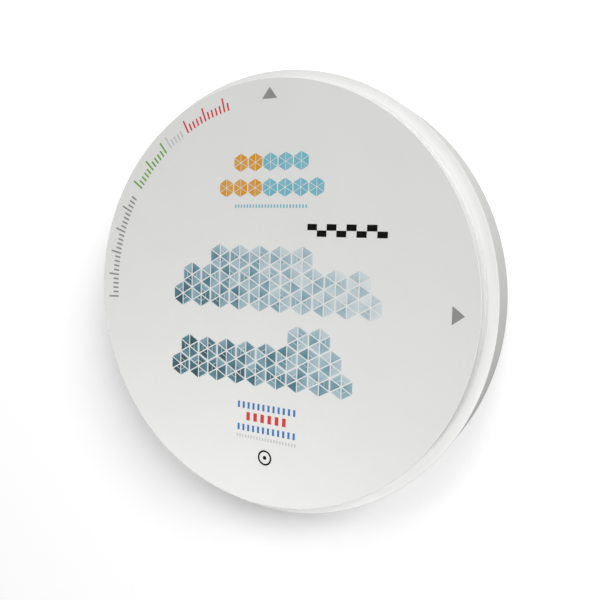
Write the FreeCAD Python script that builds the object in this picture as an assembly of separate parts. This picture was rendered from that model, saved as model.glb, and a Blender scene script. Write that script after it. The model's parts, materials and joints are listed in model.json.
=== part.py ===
import FreeCAD, Part
import os

# A dental milling disc: one round blank of pressed and half-fired zirconia, from which crowns and bridges are cut.
# It lies on its back face. The origin is the centre of that face, +Z runs up the disc's axis,
# and +Y points to the twelve o'clock side of the printed face. All sizes are in millimetres.

# The collar is the widest part, and a milling machine's ring holder clamps it
collar_diameter = 98.5
collar_thickness = 10.0

# A shoulder on each side runs in from the collar's rim to the foot of the raised face
shoulder_width = 2.5
front_rise = 4.0
back_rise = 4.0

# The rims are only just broken, because half-fired zirconia chips at a knife edge
face_edge_break = 0.1
collar_edge_break = 0.1

# The turning tool's nose leaves a small radius where each raised face meets its shoulder
root_radius = 0.25

collar_radius = collar_diameter / 2
raised_radius = collar_radius - shoulder_width
collar_bottom = back_rise
collar_top = collar_bottom + collar_thickness
front_face = collar_top + front_rise


def turned(outline):
    """One full turn about the Z axis of a closed outline of (radius, height) points."""
    points = [FreeCAD.Vector(radius, 0, height) for radius, height in outline]
    half_section = Part.Face(Part.makePolygon(points + points[:1]))
    return half_section.revolve(FreeCAD.Vector(0, 0, 0), FreeCAD.Vector(0, 0, 1), 360)


def rim_edges(shape, radius, height):
    """The round edges of a turned shape at one radius and height."""
    found = []
    for edge in shape.Edges:
        curve = edge.Curve
        if not isinstance(curve, Part.Circle):
            continue
        if abs(curve.Radius - radius) < 1e-6 and abs(curve.Center.z - height) < 1e-6:
            found.append(edge)
    return found


def stepped_blank():
    """The blank with sharp edges: a collar with a raised round face on its front and on its back."""
    return turned([
        (0, 0),
        (raised_radius, 0),
        (raised_radius, collar_bottom),
        (collar_radius, collar_bottom),
        (collar_radius, collar_top),
        (raised_radius, collar_top),
        (raised_radius, front_face),
        (0, front_face),
    ])


def with_rounded_roots(blank):
    """Rounds the inner corner at the foot of each raised face."""
    roots = rim_edges(blank, raised_radius, collar_bottom) + rim_edges(blank, raised_radius, collar_top)
    return blank.makeFillet(root_radius, roots)


def with_broken_edges(blank):
    """Bevels the rims of both faces and of the collar."""
    face_rims = rim_edges(blank, raised_radius, 0) + rim_edges(blank, raised_radius, front_face)
    blank = blank.makeChamfer(face_edge_break, face_rims)
    collar_rims = rim_edges(blank, collar_radius, collar_bottom) + rim_edges(blank, collar_radius, collar_top)
    return blank.makeChamfer(collar_edge_break, collar_rims)


os.makedirs("parts", exist_ok=True)

milling_disc = with_broken_edges(with_rounded_roots(stepped_blank()))
milling_disc.exportStep("parts/milling_disc.step")
print("milling disc: %.1f cm3, valid %s" % (milling_disc.Volume / 1000, milling_disc.isValid()))
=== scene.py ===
# %% [markdown]
# A zirconia milling disc, dressed for its picture. The real thing is a round blank of pressed and
# half-fired zirconia, 98.5 mm across. A dental mill clamps it by its collar and cuts crowns and bridges
# out of it. The CAD model of the blank comes in as a fixed frame, and this lesson builds the looks round
# it: a smooth turned body, a chalky ceramic finish, a printed face, and a soft white studio. Lengths are
# in metres, except where a name ends in mm. The disc lies on its back face, with that face's centre at
# the origin.

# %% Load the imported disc
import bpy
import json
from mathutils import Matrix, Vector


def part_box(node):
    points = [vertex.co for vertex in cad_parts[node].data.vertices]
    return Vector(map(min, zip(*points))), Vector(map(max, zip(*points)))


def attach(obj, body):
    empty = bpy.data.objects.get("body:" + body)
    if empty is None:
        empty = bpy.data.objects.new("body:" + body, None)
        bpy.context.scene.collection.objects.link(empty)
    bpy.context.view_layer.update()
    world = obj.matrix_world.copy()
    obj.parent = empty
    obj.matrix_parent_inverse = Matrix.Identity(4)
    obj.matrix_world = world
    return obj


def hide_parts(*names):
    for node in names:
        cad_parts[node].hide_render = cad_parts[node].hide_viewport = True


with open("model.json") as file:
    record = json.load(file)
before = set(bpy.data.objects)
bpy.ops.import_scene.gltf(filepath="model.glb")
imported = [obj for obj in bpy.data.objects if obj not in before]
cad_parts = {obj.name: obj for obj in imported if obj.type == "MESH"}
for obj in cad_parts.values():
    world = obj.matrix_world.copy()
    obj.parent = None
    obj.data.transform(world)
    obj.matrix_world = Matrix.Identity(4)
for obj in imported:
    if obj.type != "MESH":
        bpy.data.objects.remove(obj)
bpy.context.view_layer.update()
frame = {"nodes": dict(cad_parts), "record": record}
print("CAD nodes:", sorted(frame["nodes"]))

# %% Modules, and the sizes that the CAD model gives
import json
import math

import bmesh
import bpy
from mathutils import Matrix, Vector

MM = 0.001
mounts = {mount["name"]: mount for mount in frame["record"]["mounts"]}
COLLAR_RADIUS = mounts["collar_rim"]["dims"]["r_mm"] * MM
COLLAR_BOTTOM = mounts["back_shoulder"]["pos_m"][2]
COLLAR_TOP = mounts["front_shoulder"]["pos_m"][2]
FACE_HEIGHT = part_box("milling_disc")[1].z

# %% [markdown]
# The camera comes first, because every later choice is judged through it. In the picture the disc's face
# is turned about 28 degrees to the left, so the camera stands over the disc's right side, 13 cm above the
# table it lies on. The place, the aim and the lens come from matching the disc's round edges to a circle
# of known size. A short distance matters as much as the angle does: it makes the near side of the rim
# wider than the far side.

# %% The camera
IMAGE_SIDE = 600
FOCAL_PIXELS = 600.5
SENSOR_SIDE = 36
CAMERA_PLACE = Vector((66.95, 13.65, 130.4)) * MM
CAMERA_AIM = Vector((9.3, 0.4, 18.0)) * MM
PICTURE_UP = Vector((-0.070, 0.994, -0.081))
NEAREST_SEEN = 1 * MM
FARTHEST_SEEN = 20

camera_data = bpy.data.cameras.new("camera")
camera_data.sensor_width = SENSOR_SIDE
camera_data.lens = FOCAL_PIXELS / IMAGE_SIDE * SENSOR_SIDE
camera_data.clip_start = NEAREST_SEEN
camera_data.clip_end = FARTHEST_SEEN
back = (CAMERA_PLACE - CAMERA_AIM).normalized()
right = PICTURE_UP.cross(back).normalized()
turn = Matrix((right, back.cross(right), back)).transposed()
camera = bpy.data.objects.new("camera", camera_data)
camera.matrix_world = Matrix.Translation(CAMERA_PLACE) @ turn.to_4x4()
bpy.context.scene.collection.objects.link(camera)
bpy.context.scene.camera = camera
print("Camera height above the face, mm:", round((CAMERA_PLACE.z - FACE_HEIGHT) / MM, 1))

# %% [markdown]
# Node trees, for geometry and for materials alike, are boxes and wires. Building them in a script takes
# many lines unless a few helpers do the wiring, so here are four: one adds a node and fills its inputs,
# one does a sum, one starts a geometry tree with named inputs, and one ends it.

# %% Helpers for node trees
def add_node(tree, kind, inputs=None, **settings):
    """Adds a node and fills its inputs, each with a plain value or with another node's output."""
    node = tree.nodes.new(kind)
    for name, value in settings.items():
        setattr(node, name, value)
    for key, value in (inputs or {}).items():
        if isinstance(value, bpy.types.NodeSocket):
            tree.links.new(value, node.inputs[key])
        else:
            node.inputs[key].default_value = value
    return node


def reckon(tree, operation, first, second=0.0, third=0.0):
    """The output of one sum in a tree."""
    return add_node(tree, "ShaderNodeMath", {0: first, 1: second, 2: third}, operation=operation).outputs[0]


def geometry_tree(name, inputs):
    """A geometry tree with inputs given as (name, kind of socket). Returns it with its input sockets."""
    tree = bpy.data.node_groups.new(name, "GeometryNodeTree")
    tree.interface.new_socket("Geometry", in_out="INPUT", socket_type="NodeSocketGeometry")
    for label, kind in inputs:
        tree.interface.new_socket(label, in_out="INPUT", socket_type="NodeSocket" + kind)
    tree.interface.new_socket("Geometry", in_out="OUTPUT", socket_type="NodeSocketGeometry")
    return tree, tree.nodes.new("NodeGroupInput").outputs


def end_tree(tree, geometry, ink):
    """Ends a geometry tree: real meshes in place of instances, then the material."""
    real = add_node(tree, "GeometryNodeRealizeInstances", {"Geometry": geometry}).outputs[0]
    painted = add_node(tree, "GeometryNodeSetMaterial", {"Geometry": real, "Material": ink}).outputs[0]
    add_node(tree, "NodeGroupOutput", {"Geometry": painted})


print("Helpers ready: add_node, reckon, geometry_tree, end_tree")

# %% [markdown]
# A tree does nothing until an object's modifier runs it. The next helpers do that once, keep the result
# as a plain mesh and take the modifier off, because the finished object has to be a simple mesh that
# anyone can use. They also merge doubled points and turn all faces outwards: a body made by turning a
# line has doubled points on its axis.

# %% Meshes before and after a tree
MERGE_DISTANCE = 0.0005 * MM


def chain_mesh(name, chains):
    """A mesh of one or more rows of points, each joined by edges, as lines for a tree to work on."""
    points = []
    edges = []
    for chain in chains:
        edges += [(len(points) + i, len(points) + i + 1) for i in range(len(chain) - 1)]
        points += chain
    mesh = bpy.data.meshes.new(name)
    mesh.from_pydata(points, edges, [])
    return mesh


def tidy_mesh(mesh):
    """Merges doubled points and turns the faces outwards. Returns the open edges and the volume."""
    form = bmesh.new()
    form.from_mesh(mesh)
    bmesh.ops.remove_doubles(form, verts=form.verts, dist=MERGE_DISTANCE)
    bmesh.ops.recalc_face_normals(form, faces=form.faces)
    form.to_mesh(mesh)
    open_edges = sum(1 for edge in form.edges if len(edge.link_faces) != 2)
    volume = form.calc_volume(signed=True)
    form.free()
    return open_edges, volume


print("Points closer than this many micrometres are merged:", round(MERGE_DISTANCE / MM * 1000, 2))

# %% Run a tree and keep its mesh
def made_by_tree(name, tree, start, **values):
    """An object that a geometry tree made from the start mesh, with the modifier's inputs set by name."""
    piece = bpy.data.objects.new(name, start)
    bpy.context.scene.collection.objects.link(piece)
    modifier = piece.modifiers.new("tree", "NODES")
    modifier.node_group = tree
    for item in tree.interface.items_tree:
        key = item.name.lower().replace(" ", "_")
        if item.in_out == "INPUT" and key in values:
            modifier[item.identifier] = values[key]
    graph = bpy.context.evaluated_depsgraph_get()
    evaluated = piece.evaluated_get(graph)
    made = bpy.data.meshes.new_from_object(evaluated, preserve_all_data_layers=True, depsgraph=graph)
    piece.modifiers.clear()
    piece.data = made
    made.name = name
    finish = made.materials[-1]
    made.materials.clear()
    made.materials.append(finish)
    open_edges, volume = tidy_mesh(made)
    print(name, "faces", len(made.polygons), "open edges", open_edges,
          "volume mm3", round(volume / MM**3, 3))
    return piece


print("Ready to run trees: made_by_tree")

# %% [markdown]
# The blank is pressed as a plain puck and then turned, so its shape is one half section swept round the
# axis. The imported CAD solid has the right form, but its round walls are flat facets, which a close view
# would show. So the same half section is turned again here in many small steps. The collar's radius and
# the three heights come from the CAD model, and the small sizes below are the ones that it was made with.

# %% The half section of the blank
SHOULDER_WIDTH = 2.5 * MM
FACE_EDGE_BREAK = 0.1 * MM
COLLAR_EDGE_BREAK = 0.1 * MM
ROOT_RADIUS = 0.25 * MM
EDGE_EASING = 0.03 * MM
RAISED_RADIUS = COLLAR_RADIUS - SHOULDER_WIDTH


def half_section():
    """The corners of the half section as (radius, height, easing), from the back face's centre upwards."""
    upper = [
        (COLLAR_RADIUS, COLLAR_TOP - COLLAR_EDGE_BREAK, EDGE_EASING),
        (COLLAR_RADIUS - COLLAR_EDGE_BREAK, COLLAR_TOP, EDGE_EASING),
        (RAISED_RADIUS, COLLAR_TOP, ROOT_RADIUS),
        (RAISED_RADIUS, FACE_HEIGHT - FACE_EDGE_BREAK, EDGE_EASING),
        (RAISED_RADIUS - FACE_EDGE_BREAK, FACE_HEIGHT, EDGE_EASING),
        (0, FACE_HEIGHT, 0),
    ]
    lower = [
        (0, 0, 0),
        (RAISED_RADIUS - FACE_EDGE_BREAK, 0, EDGE_EASING),
        (RAISED_RADIUS, FACE_EDGE_BREAK, EDGE_EASING),
        (RAISED_RADIUS, COLLAR_BOTTOM, ROOT_RADIUS),
        (COLLAR_RADIUS - COLLAR_EDGE_BREAK, COLLAR_BOTTOM, EDGE_EASING),
        (COLLAR_RADIUS, COLLAR_BOTTOM + COLLAR_EDGE_BREAK, EDGE_EASING),
    ]
    return lower + upper


print("Corners of the half section:", len(half_section()))

# %% [markdown]
# No turned edge is a perfect corner. The ends of each bevel are eased here by a few hundredths of a
# millimetre, and those soft edges catch the thin bright lines that a real ceramic rim shows. Each corner
# becomes a short curve from one side to the other. A Bevel modifier would do it too, but here the roots
# and the rims each have an easing of their own. Just outside each curve, on both sides, stands a holding
# point, so that smooth shading bends only the curve and leaves the flats flat.

# %% Easing the corners
EASING_STEPS = 5
HOLDING_DISTANCE = 0.02 * MM


def eased_line(corners):
    """The line through the corners with each one rounded, and a holding point on each side of it."""
    points = []
    for i, (radius, height, easing) in enumerate(corners):
        corner = Vector((radius, 0, height))
        if easing == 0:
            points.append(corner)
            continue
        before = Vector((corners[i - 1][0], 0, corners[i - 1][1]))
        after = Vector((corners[i + 1][0], 0, corners[i + 1][1]))
        inwards = (before - corner).normalized()
        onwards = (after - corner).normalized()
        points.append(corner + inwards * (easing + HOLDING_DISTANCE))
        for step in range(EASING_STEPS + 1):
            share = step / EASING_STEPS
            points.append(corner + inwards * easing * (1 - share) ** 2 + onwards * easing * share**2)
        points.append(corner + onwards * (easing + HOLDING_DISTANCE))
    return points


print("Half section points:", len(eased_line(half_section())))

# %% [markdown]
# Turning follows a rule, so it is a job for Geometry Nodes. A grid has one column of points for each step
# of the turn and one row for each point of the half section. Each point takes its radius and height from
# the section and its angle from its column. The last column falls on the first, and the two are merged
# afterwards. A Screw modifier or Spin would do this as well, but here the steps are a plain input.

# %% The turning tree
def turning_tree():
    tree, sizes = geometry_tree("turning", [("Steps", "Int"), ("Smooth", "Bool"), ("Finish", "Material")])
    totals = add_node(tree, "GeometryNodeAttributeDomainSize", {"Geometry": sizes["Geometry"]}).outputs
    rows = totals["Point Count"]
    columns = reckon(tree, "ADD", sizes["Steps"], 1)
    counts = {"Vertices X": columns, "Vertices Y": rows}
    grid = add_node(tree, "GeometryNodeMeshGrid", counts).outputs["Mesh"]
    index = add_node(tree, "GeometryNodeInputIndex").outputs[0]
    column = reckon(tree, "FLOOR", reckon(tree, "DIVIDE", index, rows))
    row = reckon(tree, "SUBTRACT", index, reckon(tree, "MULTIPLY", column, rows))
    place = add_node(tree, "GeometryNodeInputPosition").outputs[0]
    section = add_node(tree, "GeometryNodeSampleIndex",
                       {"Geometry": sizes["Geometry"], "Value": place, "Index": row},
                       data_type="FLOAT_VECTOR", domain="POINT").outputs["Value"]
    angle = reckon(tree, "MULTIPLY", reckon(tree, "DIVIDE", column, sizes["Steps"]), math.tau)
    turned = add_node(tree, "ShaderNodeVectorRotate", {"Vector": section, "Angle": angle},
                      rotation_type="Z_AXIS").outputs[0]
    moved = add_node(tree, "GeometryNodeSetPosition", {"Geometry": grid, "Position": turned}).outputs[0]
    smooth = add_node(tree, "GeometryNodeSetShadeSmooth",
                      {"Geometry": moved, "Shade Smooth": sizes["Smooth"]}).outputs[0]
    end_tree(tree, smooth, sizes["Finish"])
    return tree


turning = turning_tree()
print("Turning tree nodes:", len(turning.nodes))

# %% [markdown]
# A finish is a node tree too, and every finish on this object starts alike: one Principled shader, and
# the place on the object in millimetres, so that each pattern can be given its real size. The place comes
# from Object coordinates, so a pattern stays on the disc wherever the camera goes.

# %% Colours and the start of every finish
def shade(red, green, blue):
    """A colour given as on a screen, 0 to 255, as the light values that a shader takes."""
    light = []
    for value in (red / 255, green / 255, blue / 255):
        light.append(value / 12.92 if value <= 0.04045 else ((value + 0.055) / 1.055) ** 2.4)
    return (*light, 1.0)


def new_material(name, settings):
    """A material with one Principled shader and its plain values. Also returns the place in millimetres."""
    material = bpy.data.materials.new(name)
    material.use_nodes = True
    tree = material.node_tree
    tree.nodes.clear()
    shader = add_node(tree, "ShaderNodeBsdfPrincipled", settings)
    add_node(tree, "ShaderNodeOutputMaterial", {"Surface": shader.outputs[0]})
    in_metres = add_node(tree, "ShaderNodeTexCoord").outputs["Object"]
    scaling = {0: in_metres, "Scale": 1 / MM}
    place = add_node(tree, "ShaderNodeVectorMath", scaling, operation="SCALE").outputs[0]
    return material, tree, shader, place


print("Screen grey 211 as light:", round(shade(211, 211, 211)[0], 3))

# %% Helpers that vary a finish from place to place
def noise(tree, place, size_mm, detail=2.0):
    """Soft noise from 0 to 1 whose blotches are about size_mm across."""
    settings = {"Vector": place, "Scale": 1 / size_mm, "Detail": detail}
    return add_node(tree, "ShaderNodeTexNoise", settings).outputs[0]


def blend_colours(tree, share, first, second):
    """A mix of two colours by a share from 0 to 1."""
    # The node's sockets share their names, so the two colours and the mixed one go by number
    settings = {"Factor": share, 6: first, 7: second}
    return add_node(tree, "ShaderNodeMix", settings, data_type="RGBA").outputs[2]


def spread(tree, value, low, high):
    """A value from 0 to 1 stretched to run from low to high."""
    return reckon(tree, "MULTIPLY_ADD", value, high - low, low)


def add_relief(tree, shader, height, depth_mm):
    """Bump on the shader, with a height from 0 to 1 that stands for the given depth."""
    bump = add_node(tree, "ShaderNodeBump", {"Height": height, "Distance": depth_mm * MM})
    tree.links.new(bump.outputs[0], shader.inputs["Normal"])


print("Helpers ready: noise, blend_colours, spread, add_relief")

# %% [markdown]
# Half-fired zirconia is chalky: a pale grey-white, matt, with a faint sheen where the press die or a
# lapping plate has smoothed it. The shoulders are cut last, so they are a touch whiter. The collar's side
# keeps the greyer white of the faces, as painted shade, and the foot of each wall is painted greyer still,
# a painted shade in the inner corner. A flat colour would look like paper. So the colour mixes whites by
# place, which the shader works out from the half section, and breaks them up with soft clouds.

# %% The whites of the ceramic, and its painted shade
FACE_WHITE = shade(217, 217, 215)
FACE_CLOUD = shade(212, 212, 210)
SHOULDER_WHITE = shade(233, 233, 232)
SHOULDER_CLOUD = shade(228, 228, 227)
# Painted shade for the inner corner at the foot of each wall, and how far from the corner it reaches
PAINTED_ROOT_SHADE = shade(206, 206, 205)
ROOT_SHADE_REACH_MM = 0.6
CLOUD_SIZE_MM = 14
SKIN_MM = 0.01
HALF_HEIGHT_MM = FACE_HEIGHT / MM / 2


def ceramic_colour(tree, place, radius, from_middle, on_face):
    """Face white on the faces and, as painted shade, on the side; cut white elsewhere, with painted shade
    at the roots.
    """
    cloud = noise(tree, place, CLOUD_SIZE_MM, detail=3)
    face_white_and_side_shade = blend_colours(tree, cloud, FACE_WHITE, FACE_CLOUD)
    cut_white = blend_colours(tree, cloud, SHOULDER_WHITE, SHOULDER_CLOUD)
    in_section = add_node(tree, "ShaderNodeCombineXYZ", {"X": radius, "Y": from_middle}).outputs[0]
    root = (RAISED_RADIUS / MM, COLLAR_TOP / MM - HALF_HEIGHT_MM, 0)
    away = add_node(tree, "ShaderNodeVectorMath", {0: in_section, 1: root}, operation="DISTANCE").outputs[1]
    away = reckon(tree, "MINIMUM", reckon(tree, "DIVIDE", away, ROOT_SHADE_REACH_MM), 1.0)
    # Painted shade: the cut white turns grey towards each root, the inner corner where shade falls
    root_shade_share = reckon(tree, "SUBTRACT", 1.0, away)
    cut_white = blend_colours(tree, root_shade_share, cut_white, PAINTED_ROOT_SHADE)
    # Painted shade: the collar's side takes the greyer face white, so it reads darker than the cut wall and
    # shoulder above it
    painted_side_shade = reckon(tree, "GREATER_THAN", radius, COLLAR_RADIUS / MM - SKIN_MM)
    face_or_painted_side = reckon(tree, "MAXIMUM", on_face, painted_side_shade)
    return blend_colours(tree, face_or_painted_side, cut_white, face_white_and_side_shade)


print("The colour changes over this many mm from each root:", ROOT_SHADE_REACH_MM)

# %% [markdown]
# Up close the ceramic is a fine powder grain, and all that is turned carries thin lines that run round
# the axis, deeper here and fainter there. Both are far too fine for the mesh, so they are a bump. The
# shine varies softly too, because a pressed skin is never even. A little of the light goes in and comes
# out again nearby, which takes the hardness off the edges.

# %% The grain and the turning lines
GRAIN_SIZE_MM = 0.12
GRAIN_DEPTH_MM = 0.0012
TURNING_PITCH_MM = 0.16
LINE_PATCH_MM = 1.2
LINE_DEPTH_RANGE = (0.1, 0.5)


def ceramic_relief(tree, place, radius, z, on_face):
    """Grain everywhere, and turning lines of uneven depth on all but the flat faces."""
    grain = noise(tree, place, GRAIN_SIZE_MM)
    turns = reckon(tree, "DIVIDE", reckon(tree, "ADD", radius, z), TURNING_PITCH_MM)
    lines = reckon(tree, "SINE", reckon(tree, "MULTIPLY", turns, math.tau))
    uneven = spread(tree, noise(tree, place, LINE_PATCH_MM), *LINE_DEPTH_RANGE)
    lines = reckon(tree, "MULTIPLY", lines, uneven)
    lines = reckon(tree, "MULTIPLY", lines, reckon(tree, "SUBTRACT", 1.0, on_face))
    return reckon(tree, "ADD", grain, lines)


print("Turning lines to the millimetre:", round(1 / TURNING_PITCH_MM, 1))

# %% The ceramic finish
SHINE_PATCH_MM = 3.0
ROUGHNESS_RANGE = (0.64, 0.76)
SCATTER_DEPTH = 0.6 * MM
CERAMIC_BODY = {"IOR": 1.5, "Subsurface Weight": 0.12, "Subsurface Radius": (1.0, 0.9, 0.8),
                "Subsurface Scale": SCATTER_DEPTH}


def ceramic_finish():
    material, tree, shader, place = new_material("half_fired_zirconia", CERAMIC_BODY)
    x, y, z = add_node(tree, "ShaderNodeSeparateXYZ", {0: place}).outputs
    across = add_node(tree, "ShaderNodeCombineXYZ", {"X": x, "Y": y}).outputs[0]
    radius = add_node(tree, "ShaderNodeVectorMath", {0: across}, operation="LENGTH").outputs["Value"]
    from_middle = reckon(tree, "ABSOLUTE", reckon(tree, "SUBTRACT", z, HALF_HEIGHT_MM))
    on_face = reckon(tree, "GREATER_THAN", from_middle, HALF_HEIGHT_MM - SKIN_MM)
    colour = ceramic_colour(tree, place, radius, from_middle, on_face)
    tree.links.new(colour, shader.inputs["Base Color"])
    add_relief(tree, shader, ceramic_relief(tree, place, radius, z, on_face), GRAIN_DEPTH_MM)
    roughness = spread(tree, noise(tree, place, SHINE_PATCH_MM), *ROUGHNESS_RANGE)
    tree.links.new(roughness, shader.inputs["Roughness"])
    return material


zirconia = ceramic_finish()
print("Ceramic finish nodes:", len(zirconia.node_tree.nodes))

# %% [markdown]
# Now the section, the turning tree and the finish come together as one piece. It rides on the frame's
# only body and stands for the CAD solid, which is hidden. Its 300 steps make each facet of the rim about
# a millimetre wide, and smooth shading hides those. Fewer would show as corners in the outline.

# %% The turned blank
TURNING_STEPS = 300
blank = made_by_tree("turned_blank", turning, chain_mesh("half_section", [eased_line(half_section())]),
                     steps=TURNING_STEPS, smooth=True, finish=zirconia)
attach(blank, "root")
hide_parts("milling_disc")

# %% [markdown]
# The face is printed. On the real blank that is a pad or screen print: ink films a few thousandths of a
# millimetre thick, straight on the porous ceramic. The marks here are plain shapes: two pointers, a
# mosaic, a dial scale, a scale bar, some patches and a target. Each mark is a closed thin film, sunk a
# little into the face and proud of it by less than the eye can see. A picture on the face would be
# quicker, but films stay sharp at any distance. An ink is never quite even: where the porous face drinks
# it, some white comes through. Fine noise does that. The pores also take away its shine, so the shader's
# reflection is turned down to a fraction.

# %% The inks
INK_PROUD = 0.02 * MM
INK_FILM = 0.03 * MM
INK_TOP = FACE_HEIGHT + INK_PROUD
INK_FOOT = INK_TOP - INK_FILM
INK_MIDDLE = INK_TOP - INK_FILM / 2
INK_PATCH_MM = 0.3
INK_THINNING = 0.1
DRY_INK = {"Roughness": 0.55, "IOR": 1.4, "Specular IOR Level": 0.08}


def printed(tree, shader, place, colour, thinning=INK_THINNING):
    """Wires an ink's colour to the shader, with the face's white showing through and its grain below."""
    thin = spread(tree, noise(tree, place, INK_PATCH_MM, detail=3), 0.0, thinning)
    tree.links.new(blend_colours(tree, thin, colour, FACE_WHITE), shader.inputs["Base Color"])
    add_relief(tree, shader, noise(tree, place, GRAIN_SIZE_MM), GRAIN_DEPTH_MM)


def plain_ink(name, colour, thinning=INK_THINNING):
    """An ink of one colour, given as on a screen."""
    material, tree, shader, place = new_material(name, DRY_INK)
    printed(tree, shader, place, shade(*colour), thinning)
    return material


grey_ink = plain_ink("ink_grey", (132, 132, 131))
pale_ink = plain_ink("ink_pale_grey", (186, 187, 188))
black_ink = plain_ink("ink_black", (3, 3, 3), thinning=0.002)
green_ink = plain_ink("ink_green", (88, 152, 40))
red_ink = plain_ink("ink_red", (196, 36, 40))
blue_ink = plain_ink("ink_blue", (46, 108, 170))
sky_ink = plain_ink("ink_sky_blue", (104, 172, 188))
print("Plain inks ready, film thickness in micrometres:", round(INK_FILM / MM * 1000))

# %% [markdown]
# Two small grey triangles point up and to the right. They tell the technician which way round the blank
# goes in the holder. A curve with some depth could draw them too, but a few lines of mesh code push a
# flat outline into an exact closed film.

# %% A film with a given outline
def flat_film(name, outline, ink):
    """A closed film whose top face is the outline, given counter-clockwise in the plane of the face."""
    form = bmesh.new()
    bottom = [form.verts.new((x, y, INK_FOOT)) for x, y in outline]
    top = [form.verts.new((x, y, INK_TOP)) for x, y in outline]
    form.faces.new(reversed(bottom))
    form.faces.new(top)
    for i in range(len(outline)):
        j = (i + 1) % len(outline)
        form.faces.new((bottom[i], bottom[j], top[j], top[i]))
    mesh = bpy.data.meshes.new(name)
    form.to_mesh(mesh)
    form.free()
    mesh.materials.append(ink)
    piece = bpy.data.objects.new(name, mesh)
    bpy.context.scene.collection.objects.link(piece)
    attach(piece, "root")


print("Ready to print outlines: flat_film")

# %% The two pointers
POINTER_HEIGHT = 2.4 * MM
POINTER_BASE = 3.65 * MM


def pointer(name, tip_mm, bearing):
    """A triangle with its tip at the place given. The bearing is in degrees from three o'clock."""
    tip = Vector(tip_mm) * MM
    ahead = Vector((math.cos(math.radians(bearing)), math.sin(math.radians(bearing))))
    left = Vector((-ahead.y, ahead.x))
    base = tip - ahead * POINTER_HEIGHT
    corners = [tip, base + left * POINTER_BASE / 2, base - left * POINTER_BASE / 2]
    flat_film(name, corners, grey_ink)
    print(name, "tip at", [round(value, 1) for value in tip_mm])


pointer("pointer_up", tip_mm=(0.9, 44.9), bearing=90)
pointer("pointer_right", tip_mm=(43.8, -0.3), bearing=0)

# %% [markdown]
# The largest print is two blue-grey fields of a mosaic of triangles, an old tiling that belongs to
# nobody. It follows a strict rule, so Geometry Nodes can lay it. One triangle is a cylinder of three
# sides. Six of them, turned by a sixth of a turn each, make a hexagon, and a hexagon goes on every point
# of the start mesh. The tree also leaves three values on the mesh for the ink to read: which triangle of
# the six it is, how far across the triangle a point lies, and a number of its own for each hexagon, drawn
# from a fixed seed.

# %% One tile of the mosaic
def with_value(tree, geometry, name, value, domain):
    """Stores a number on the geometry under a name that a material can read."""
    settings = {"Geometry": geometry, "Name": name, "Value": value}
    return add_node(tree, "GeometryNodeStoreNamedAttribute", settings, data_type="FLOAT",
                    domain=domain).outputs[0]


def mosaic_triangle(tree, sizes):
    """One tile, with a corner near the middle of its hexagon and a seam all round."""
    unit = {"Vertices": 3, "Radius": 1.0, "Depth": 1.0}
    prism = add_node(tree, "GeometryNodeMeshCylinder", unit).outputs["Mesh"]
    place = add_node(tree, "GeometryNodeInputPosition").outputs[0]
    x = add_node(tree, "ShaderNodeSeparateXYZ", {0: place}).outputs["X"]
    # The unit triangle reaches from -1/2 at one side to 1 at the corner. This makes it 0 to 1.
    across = reckon(tree, "MULTIPLY_ADD", x, 2 / 3, 1 / 3)
    prism = with_value(tree, prism, "across", across, "POINT")

    reach = reckon(tree, "MULTIPLY", sizes["Side"], 1 / math.sqrt(3))
    radius = reckon(tree, "SUBTRACT", reach, sizes["Seam"])
    size = add_node(tree, "ShaderNodeCombineXYZ", {"X": radius, "Y": radius, "Z": sizes["Film"]}).outputs[0]
    offset = add_node(tree, "ShaderNodeCombineXYZ", {"X": reach}).outputs[0]
    placing = {"Geometry": prism, "Translation": offset, "Rotation": (0, 0, math.pi), "Scale": size}
    return add_node(tree, "GeometryNodeTransform", placing).outputs[0]


print("Helpers ready: with_value, mosaic_triangle")

# %% The mosaic tree
def mosaic_tree():
    tree, sizes = geometry_tree("mosaic", [
        ("Side", "Float"), ("Seam", "Float"), ("Film", "Float"), ("Seed", "Int"), ("Ink", "Material")])
    triangle = mosaic_triangle(tree, sizes)
    index = add_node(tree, "GeometryNodeInputIndex").outputs[0]
    bearing = reckon(tree, "MULTIPLY", index, math.tau / 6)
    sixth = add_node(tree, "ShaderNodeCombineXYZ", {"Z": bearing}).outputs[0]
    six = add_node(tree, "GeometryNodePoints", {"Count": 6}).outputs[0]
    tiles = add_node(tree, "GeometryNodeInstanceOnPoints",
                     {"Points": six, "Instance": triangle, "Rotation": sixth}).outputs[0]
    tiles = with_value(tree, tiles, "tile", index, "INSTANCE")
    hexagon = add_node(tree, "GeometryNodeRealizeInstances", {"Geometry": tiles}).outputs[0]

    centres = add_node(tree, "GeometryNodeMeshToPoints", {"Mesh": sizes["Geometry"]}).outputs[0]
    field = add_node(tree, "GeometryNodeInstanceOnPoints",
                     {"Points": centres, "Instance": hexagon}).outputs[0]
    draw = add_node(tree, "FunctionNodeRandomValue", {"Seed": sizes["Seed"]}, data_type="FLOAT").outputs[1]
    field = with_value(tree, field, "draw", draw, "INSTANCE")
    end_tree(tree, field, sizes["Ink"])
    return tree


mosaic = mosaic_tree()
print("Mosaic tree nodes:", len(mosaic.nodes))

# %% [markdown]
# The ink of the mosaic reads those values. A ramp runs from pale to deep blue-grey. How deep a tile is
# comes from its place on the face (paler to the upper right), from a number that differs from tile to
# tile, and from the distance across the tile, which shades each one like a gentle fold. Thin pale lines
# run across some of the tiles. The number need not be truly random: the hexagon's draw and the tile's
# place in it, each times a different share, leave a fraction that no eye can foretell.

# %% Helpers for the ink of the mosaic
def ramp(tree, value, stops):
    """A colour ramp with evenly spaced stops."""
    node = add_node(tree, "ShaderNodeValToRGB", {0: value})
    elements = node.color_ramp.elements
    while len(elements) < len(stops):
        elements.new(0.5)
    for i, colour in enumerate(stops):
        elements[i].position = i / (len(stops) - 1)
        elements[i].color = colour
    return node.outputs[0]


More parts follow.
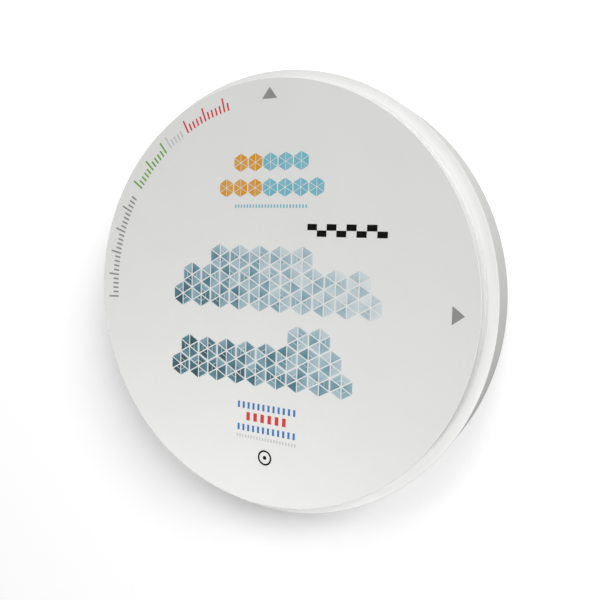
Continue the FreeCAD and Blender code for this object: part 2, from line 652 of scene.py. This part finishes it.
def stored(tree, name):
    """A value that a geometry tree left on the mesh."""
    return add_node(tree, "ShaderNodeAttribute", attribute_name=name).outputs["Fac"]


def tile_number(tree, draw_share, tile_share):
    """A number from 0 to 1 that looks random, made of the hexagon's draw and the tile's place in it."""
    mixed = reckon(tree, "MULTIPLY_ADD", stored(tree, "tile"), tile_share,
                   reckon(tree, "MULTIPLY", stored(tree, "draw"), draw_share))
    return reckon(tree, "FRACT", mixed)


print("Helpers ready: ramp, stored, tile_number")

# %% The ink of the mosaic
BLUE_GREYS = [shade(204, 212, 215), shade(176, 191, 197), shade(136, 165, 176), shade(70, 116, 131),
              shade(22, 64, 76)]
FIELD_REACH_MM = 60
MIDDLE_DEPTH = 0.25
PLACE_WEIGHT = 0.7
TILE_WEIGHT = 0.4
FOLD_WEIGHT = 0.14
LINES_PER_TILE = 2
LINE_SHARE = 0.14
LINE_STRENGTH = 0.7
UNLINED_TILES = 0.5
TONE_DRAW = (5.3, 0.382)
LINED_DRAW = (11.7, 0.271)


def mosaic_ink():
    material, tree, shader, place = new_material("ink_blue_grey", DRY_INK)
    x, y, _ = add_node(tree, "ShaderNodeSeparateXYZ", {0: place}).outputs
    down_left = reckon(tree, "MULTIPLY", reckon(tree, "ADD", x, y), -1 / FIELD_REACH_MM)
    across = stored(tree, "across")
    depth = reckon(tree, "MULTIPLY_ADD", down_left, PLACE_WEIGHT, MIDDLE_DEPTH)
    depth = reckon(tree, "MULTIPLY_ADD", tile_number(tree, *TONE_DRAW), TILE_WEIGHT, depth)
    depth = reckon(tree, "MULTIPLY_ADD", across, FOLD_WEIGHT, depth)
    colour = ramp(tree, depth, BLUE_GREYS)
    share = reckon(tree, "FRACT", reckon(tree, "MULTIPLY", across, LINES_PER_TILE))
    on_line = reckon(tree, "LESS_THAN", share, LINE_SHARE)
    has_lines = reckon(tree, "GREATER_THAN", tile_number(tree, *LINED_DRAW), UNLINED_TILES)
    lined = reckon(tree, "MULTIPLY", reckon(tree, "MULTIPLY", on_line, has_lines), LINE_STRENGTH)
    printed(tree, shader, place, blend_colours(tree, lined, colour, BLUE_GREYS[0]))
    return material


blue_grey_ink = mosaic_ink()
print("Mosaic ink nodes:", len(blue_grey_ink.node_tree.nodes))

# %% [markdown]
# Each field is three rows of hexagons. A row stands one and a half sides above the row below it, and its
# hexagons half a pitch off to the side, which is all it takes for them to fit together. The top row is a
# short one, and in the lower field it stands towards the right.

# %% Hexagons in rows
def hexagon_centres(name, rows):
    """Points for the middles of hexagons, in rows of (count, pitch, x of the middle, y), in millimetres."""
    points = []
    for count, pitch, middle_x, y in rows:
        first_x = middle_x - pitch * (count - 1) / 2
        points += [((first_x + pitch * i) * MM, y * MM, INK_MIDDLE) for i in range(count)]
    mesh = bpy.data.meshes.new(name)
    mesh.from_pydata(points, [], [])
    return mesh


def mosaic_print(name, rows, side_mm, seam_mm, ink, seed):
    """A field of the mosaic, with its hexagons in the rows given."""
    start = hexagon_centres(name + "_centres", rows)
    piece = made_by_tree(name, mosaic, start, side=side_mm * MM, seam=seam_mm * MM, film=INK_FILM,
                         seed=seed, ink=ink)
    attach(piece, "root")


print("Ready to lay hexagons: mosaic_print")

# %% The two fields of the mosaic
FIELD_SIDE_MM = 3.0
FIELD_SEAM_MM = 0.28
FIELD_PITCH_MM = math.sqrt(3) * FIELD_SIDE_MM
FIELD_STEP_MM = 1.5 * FIELD_SIDE_MM
UPPER_MIDDLE_MM = 1.8
UPPER_FOOT_MM = -0.1
LOWER_MIDDLE_MM = -1.4
LOWER_FOOT_MM = -17.0
SHORT_ROW_SHIFT_MM = 2.5 * FIELD_PITCH_MM

field_rows = [
    (5, FIELD_PITCH_MM, UPPER_MIDDLE_MM - FIELD_PITCH_MM / 2, UPPER_FOOT_MM + 2 * FIELD_STEP_MM),
    (9, FIELD_PITCH_MM, UPPER_MIDDLE_MM, UPPER_FOOT_MM + FIELD_STEP_MM),
    (10, FIELD_PITCH_MM, UPPER_MIDDLE_MM, UPPER_FOOT_MM),
    (2, FIELD_PITCH_MM, LOWER_MIDDLE_MM + SHORT_ROW_SHIFT_MM, LOWER_FOOT_MM + 2 * FIELD_STEP_MM),
    (8, FIELD_PITCH_MM, LOWER_MIDDLE_MM, LOWER_FOOT_MM + FIELD_STEP_MM),
    (9, FIELD_PITCH_MM, LOWER_MIDDLE_MM, LOWER_FOOT_MM),
]
mosaic_print("mosaic_field", field_rows, FIELD_SIDE_MM, FIELD_SEAM_MM, blue_grey_ink, seed=3)

# %% [markdown]
# Above them go two rows of small hexagons, by the same tree. Their ink picks the hue from the place:
# orange on the left, light blue on the right. Each tile is a little lighter or darker than the next.

# %% The small hexagons
BAND_SIDE_MM = 2.05
BAND_SEAM_MM = 0.14
BAND_PITCH_MM = 3.7
BAND_MIDDLE_MM = 1.4
BAND_UPPER_ROW_MM = 29.4
BAND_LOWER_ROW_MM = 24.0
BAND_CHANGE_MM = BAND_MIDDLE_MM - BAND_PITCH_MM / 2
BAND_ORANGE = shade(204, 142, 8)
BAND_BLUE = shade(104, 172, 188)
BAND_LIGHTEST = 0.12


def band_ink():
    material, tree, shader, place = new_material("ink_orange_and_blue", DRY_INK)
    x = add_node(tree, "ShaderNodeSeparateXYZ", {0: place}).outputs["X"]
    on_right = reckon(tree, "GREATER_THAN", x, BAND_CHANGE_MM)
    hue = blend_colours(tree, on_right, BAND_ORANGE, BAND_BLUE)
    lightness = reckon(tree, "MULTIPLY", tile_number(tree, *TONE_DRAW), BAND_LIGHTEST)
    printed(tree, shader, place, blend_colours(tree, lightness, hue, FACE_WHITE), thinning=0.03)
    return material


band_rows = [
    (5, BAND_PITCH_MM, BAND_MIDDLE_MM, BAND_UPPER_ROW_MM),
    (7, BAND_PITCH_MM, BAND_MIDDLE_MM, BAND_LOWER_ROW_MM),
]
mosaic_print("mosaic_band", band_rows, BAND_SIDE_MM, BAND_SEAM_MM, band_ink(), seed=5)

# %% [markdown]
# The other print is rows of small marks: a dial scale that follows the edge, a black scale bar, and rows
# of colour patches such as printers use to check their inks. All three are the same job, a box set again
# and again along a path, so one tree makes them all. Each box stands on the path, on its left side, and
# every so often one is longer.

# %% The tree for marks along a path
def marks_tree():
    tree, sizes = geometry_tree("marks_along_a_path", [
        ("Count", "Int"), ("Mark Width", "Float"), ("Mark Length", "Float"), ("Long Every", "Int"),
        ("Long Length", "Float"), ("Film", "Float"), ("Ink", "Material")])
    path = add_node(tree, "GeometryNodeMeshToCurve", {"Mesh": sizes["Geometry"]}).outputs[0]
    spots = add_node(tree, "GeometryNodeCurveToPoints", {"Curve": path, "Count": sizes["Count"]},
                     mode="COUNT").outputs
    unit = add_node(tree, "GeometryNodeMeshCube", {"Size": (1, 1, 1)}).outputs["Mesh"]
    box = add_node(tree, "GeometryNodeTransform", {"Geometry": unit, "Translation": (0, 0.5, 0)}).outputs[0]
    index = add_node(tree, "GeometryNodeInputIndex").outputs[0]
    is_long = reckon(tree, "LESS_THAN", reckon(tree, "MODULO", index, sizes["Long Every"]), 0.5)
    extra = reckon(tree, "SUBTRACT", sizes["Long Length"], sizes["Mark Length"])
    extra = reckon(tree, "MULTIPLY", is_long, extra)
    length = reckon(tree, "ADD", sizes["Mark Length"], extra)
    size = add_node(tree, "ShaderNodeCombineXYZ",
                    {"X": sizes["Mark Width"], "Y": length, "Z": sizes["Film"]}).outputs[0]
    along = add_node(tree, "FunctionNodeAlignRotationToVector", {"Vector": spots["Tangent"]}, axis="X",
                     pivot_axis="Z").outputs[0]
    placing = {"Points": spots["Points"], "Instance": box, "Rotation": along, "Scale": size}
    marks = add_node(tree, "GeometryNodeInstanceOnPoints", placing).outputs[0]
    end_tree(tree, marks, sizes["Ink"])
    return tree


marks_along_a_path = marks_tree()
print("Marks tree nodes:", len(marks_along_a_path.nodes))

# %% Marks as a piece of print
def marks_print(name, paths, ink, count, width, length, long_every=1, long_length=None):
    """Marks along paths in the plane of the face, all sizes in mm. Without a long length they are alike."""
    chains = [[(x * MM, y * MM, INK_MIDDLE) for x, y in path] for path in paths]
    piece = made_by_tree(name, marks_along_a_path, chain_mesh(name + "_path", chains), count=count,
                         mark_width=width * MM, mark_length=length * MM, long_every=long_every,
                         long_length=(long_length or length) * MM, film=INK_FILM, ink=ink)
    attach(piece, "root")


print("Ready to print marks: marks_print")

# %% [markdown]
# The dial scale follows the edge, as on anything that is set by turning it. Its ticks stand on an arc,
# and every fifth one is longer. The arc has four points to a tick, so that each tick points straight
# outwards.

# %% The dial scale along the edge
DIAL_RADIUS_MM = 41.8
DIAL_PITCH_DEGREES = 1.45
POINTS_PER_TICK = 4
TICK_WIDTH_MM = 0.4
TICK_LENGTH_MM = 1.7
LONG_TICK_MM = 3.1
LONG_TICK_EVERY = 5


def dial_part(name, first_degrees, last_degrees, ink):
    """Ticks that stand outwards on an arc, clockwise from the first bearing to the last."""
    count = round((first_degrees - last_degrees) / DIAL_PITCH_DEGREES) + 1
    fine_steps = POINTS_PER_TICK * (count - 1)
    bearings = [math.radians(first_degrees + (last_degrees - first_degrees) * i / fine_steps)
                for i in range(fine_steps + 1)]
    arc = [(DIAL_RADIUS_MM * math.cos(bearing), DIAL_RADIUS_MM * math.sin(bearing)) for bearing in bearings]
    marks_print(name, [arc], ink, count, TICK_WIDTH_MM, TICK_LENGTH_MM, LONG_TICK_EVERY, LONG_TICK_MM)


dial_part("dial_grey", 183, 149, grey_ink)
dial_part("dial_green", 144.5, 129.5, green_ink)
dial_part("dial_pale", 127, 121.5, pale_ink)
dial_part("dial_red", 119, 103, red_ink)

# %% [markdown]
# The scale bar is two rows of black blocks like a chessboard's, with the lower row one block farther to
# the right. Blocks that met at their corners would share an edge there, and then the film would not be a
# plain closed shape, so a gap too small to see is left between them.

# %% The scale bar
BAR_BLOCK_MM = 2.2
BAR_HEIGHT_MM = 1.3
BAR_LEFT_MM = 10.6
BAR_FOOT_MM = 13.8
BAR_BLOCKS = 4
BAR_GAP_MM = 0.03


def bar_row(shift, foot):
    """The path through the feet of one row's blocks, shifted to the right by a number of blocks."""
    first = BAR_LEFT_MM + (shift + 0.5) * BAR_BLOCK_MM
    last = first + 2 * (BAR_BLOCKS - 1) * BAR_BLOCK_MM
    return [(first, foot), (last, foot)]


bar_rows = [bar_row(1, BAR_FOOT_MM), bar_row(0, BAR_FOOT_MM + BAR_HEIGHT_MM)]
marks_print("scale_bar", bar_rows, black_ink, BAR_BLOCKS, BAR_BLOCK_MM - BAR_GAP_MM, BAR_HEIGHT_MM)

# %% [markdown]
# The colour patches are rows of small boxes. Each call gives the ink and how many patches a row has, and
# then in millimetres their size, the two ends of the row across the face, and the lines that its rows
# stand on.

# %% The colour patches
def patch_rows(name, ink, count, size, ends, feet):
    """Rows of small patches from end to end, one row standing on each foot line."""
    width, height = size
    marks_print(name, [[(ends[0], foot), (ends[1], foot)] for foot in feet], ink, count, width, height)


patch_rows("patches_sky", sky_ink, count=24, size=(0.35, 0.7), ends=(-7.2, 10.2), feet=[19.7])
patch_rows("patches_blue", blue_ink, count=12, size=(0.55, 1.5), ends=(-5.6, 8.6), feet=[-25.1, -30.3])
patch_rows("patches_red", red_ink, count=6, size=(0.9, 1.9), ends=(-3.1, 6.1), feet=[-27.8])
patch_rows("patches_pale", pale_ink, count=21, size=(0.35, 0.7), ends=(-5.9, 8.9), feet=[-31.9])

# %% [markdown]
# Last comes a small ring with a dot, a plain target mark near the lower edge. A ring is a turned shape
# too, so the turning tree makes it from a closed section, and the mesh is then moved to its place.

# %% The target mark
TARGET_CENTRE = Vector((1.4, -35.7, 0)) * MM
RING_OUTER = 1.75 * MM
RING_INNER = 1.35 * MM
DOT_RADIUS = 0.45 * MM
RING_STEPS = 64


def turned_film(name, corners):
    """A turned film from the corners of its section, given as (radius, height)."""
    section = [(radius, 0, height) for radius, height in corners]
    start = chain_mesh(name + "_section", [section])
    piece = made_by_tree(name, turning, start, steps=RING_STEPS, smooth=False, finish=black_ink)
    piece.data.transform(Matrix.Translation(TARGET_CENTRE))
    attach(piece, "root")


ring_foot = [(RING_INNER, INK_FOOT), (RING_OUTER, INK_FOOT)]
ring_top = [(RING_OUTER, INK_TOP), (RING_INNER, INK_TOP)]
turned_film("target_ring", ring_foot + ring_top + ring_foot[:1])
turned_film("target_dot", [(0, INK_FOOT), (DOT_RADIUS, INK_FOOT), (DOT_RADIUS, INK_TOP), (0, INK_TOP)])

# %% [markdown]
# The table is a wide pale floor. A photographer lights a white sweep until it is pure white in the
# picture, but that much light would burn out the disc too. So the floor adds an even glow to its paint,
# for the camera's own rays only. The shadows stay, because the paint under the glow still takes them.
# Farther out, where the lamps no longer reach, the floor fades to plain white, so that no horizon shows.
# The disc itself sees a dark floor, which keeps its side in shade, as in the picture.

# %% The finish of the floor
FLOOR_PAINT = (1, 1, 1, 1)
FLOOR_LIFT = 0.31
FLOOR_BOUNCE = (0.06, 0.06, 0.06, 1)
FADE_START = 0.22
FADE_END = 0.55


def seen_rays(tree):
    """1 for rays from the camera, also by way of a mirror or glass, and 0 for light that bounces about."""
    paths = add_node(tree, "ShaderNodeLightPath").outputs
    seen = reckon(tree, "MAXIMUM", paths["Is Camera Ray"], paths["Is Glossy Ray"])
    return reckon(tree, "MAXIMUM", seen, paths["Is Transmission Ray"])


def floor_finish():
    material = bpy.data.materials.new("white_floor")
    material.use_nodes = True
    tree = material.node_tree
    tree.nodes.clear()
    paint = add_node(tree, "ShaderNodeBsdfDiffuse", {"Color": FLOOR_PAINT}).outputs[0]
    lift = add_node(tree, "ShaderNodeEmission", {"Strength": FLOOR_LIFT}).outputs[0]
    near = add_node(tree, "ShaderNodeAddShader", {0: paint, 1: lift}).outputs[0]
    place = add_node(tree, "ShaderNodeTexCoord").outputs["Object"]
    away = add_node(tree, "ShaderNodeVectorMath", {0: place}, operation="LENGTH").outputs[1]
    span = {"Value": away, "From Min": FADE_START, "From Max": FADE_END}
    fade = add_node(tree, "ShaderNodeMapRange", span).outputs[0]
    white = add_node(tree, "ShaderNodeEmission").outputs[0]
    seen = add_node(tree, "ShaderNodeMixShader", {0: fade, 1: near, 2: white}).outputs[0]
    bounce = add_node(tree, "ShaderNodeBsdfDiffuse", {"Color": FLOOR_BOUNCE}).outputs[0]
    mixed = add_node(tree, "ShaderNodeMixShader", {0: seen_rays(tree), 1: bounce, 2: seen}).outputs[0]
    add_node(tree, "ShaderNodeOutputMaterial", {"Surface": mixed})
    return material


white_floor = floor_finish()
print("Floor finish nodes:", len(white_floor.node_tree.nodes))

# %% The floor
FLOOR_SIZE = 6.0

half = FLOOR_SIZE / 2
floor_corners = [(-half, -half, 0), (half, -half, 0), (half, half, 0), (-half, half, 0)]
floor_mesh = bpy.data.meshes.new("floor")
floor_mesh.from_pydata(floor_corners, [], [(0, 1, 2, 3)])
floor_mesh.materials.append(white_floor)
floor = bpy.data.objects.new("floor", floor_mesh)
bpy.context.scene.collection.objects.link(floor)
print("Floor side, m:", FLOOR_SIZE)

# %% [markdown]
# The surround is white to the camera, and to everything else it gives a faint even light, as the walls of
# a pale studio do. Both come from one Background, whose strength depends on the kind of ray.

# %% The white surround
AMBIENT_LEVEL = 0.05

world = bpy.data.worlds.new("surround")
world.use_nodes = True
sky = world.node_tree
sky.nodes.clear()
strength = spread(sky, seen_rays(sky), AMBIENT_LEVEL, 1.0)
glow = add_node(sky, "ShaderNodeBackground", {"Color": (1, 1, 1, 1), "Strength": strength}).outputs[0]
add_node(sky, "ShaderNodeOutputWorld", {"Surface": glow})
bpy.context.scene.world = world
print("Surround ready, ambient level", AMBIENT_LEVEL)

# %% [markdown]
# Four soft lamps do the rest. Each is given by its level: the share of full white that it alone would put
# on a flat white card at the middle of the disc. Levels simply add up, and with the surround they come to
# a little over 1, so a colour renders about as it is written. Two large soft boxes stand far off, one at
# the upper right and one at the top, and throw the soft shadow to the lower left. The fill below is small
# and near, so the lower part of the face gets more of it than the upper part. The fill behind is low and
# faint, and only lifts the far side of the rim. Light linking keeps both fills off the floor, where they
# would wash the shadow out.

# %% The lamps
def soft_lamp(name, place_mm, side_mm, level, lit_only=None):
    """A square soft box aimed at the middle of the face, with the power that gives the level there."""
    aim = Vector((0, 0, FACE_HEIGHT))
    reach = Vector(place_mm) * MM - aim
    lamp = bpy.data.lights.new(name, "AREA")
    lamp.size = side_mm * MM
    slant = reach.normalized().z
    # A lamp's light is spread over pi, and so is what a matt card gives back, hence the square
    lamp.energy = level * math.pi**2 * reach.length_squared / slant
    holder = bpy.data.objects.new(name, lamp)
    facing = reach.to_track_quat("Z", "Y").to_matrix().to_4x4()
    holder.matrix_world = Matrix.Translation(aim + reach) @ facing
    holder.visible_camera = False
    holder.light_linking.receiver_collection = lit_only
    bpy.context.scene.collection.objects.link(holder)
    print(name, "level", level, "power", round(lamp.energy, 2), "W")


disc_only = bpy.data.collections.new("disc_only")
own_pieces = [piece for piece in bpy.context.scene.objects
              if piece.type == "MESH" and piece.name not in ("floor", "milling_disc")]
for piece in own_pieces:
    disc_only.objects.link(piece)
print("Lit by the fill lamps:", len(own_pieces), "pieces")

soft_lamp("key_right", place_mm=(1390, 945, 1120), side_mm=900, level=0.49)
soft_lamp("key_top", place_mm=(-45, 1285, 1550), side_mm=900, level=0.26)
soft_lamp("fill_below", place_mm=(-20, -134, 115), side_mm=90, level=0.28, lit_only=disc_only)
soft_lamp("fill_behind", place_mm=(-1300, -600, 190), side_mm=300, level=0.03, lit_only=disc_only)

# %% [markdown]
# The Standard view shows each shade as it is, with no film look laid over it.

bpy.context.scene.view_settings.view_transform = "Standard"
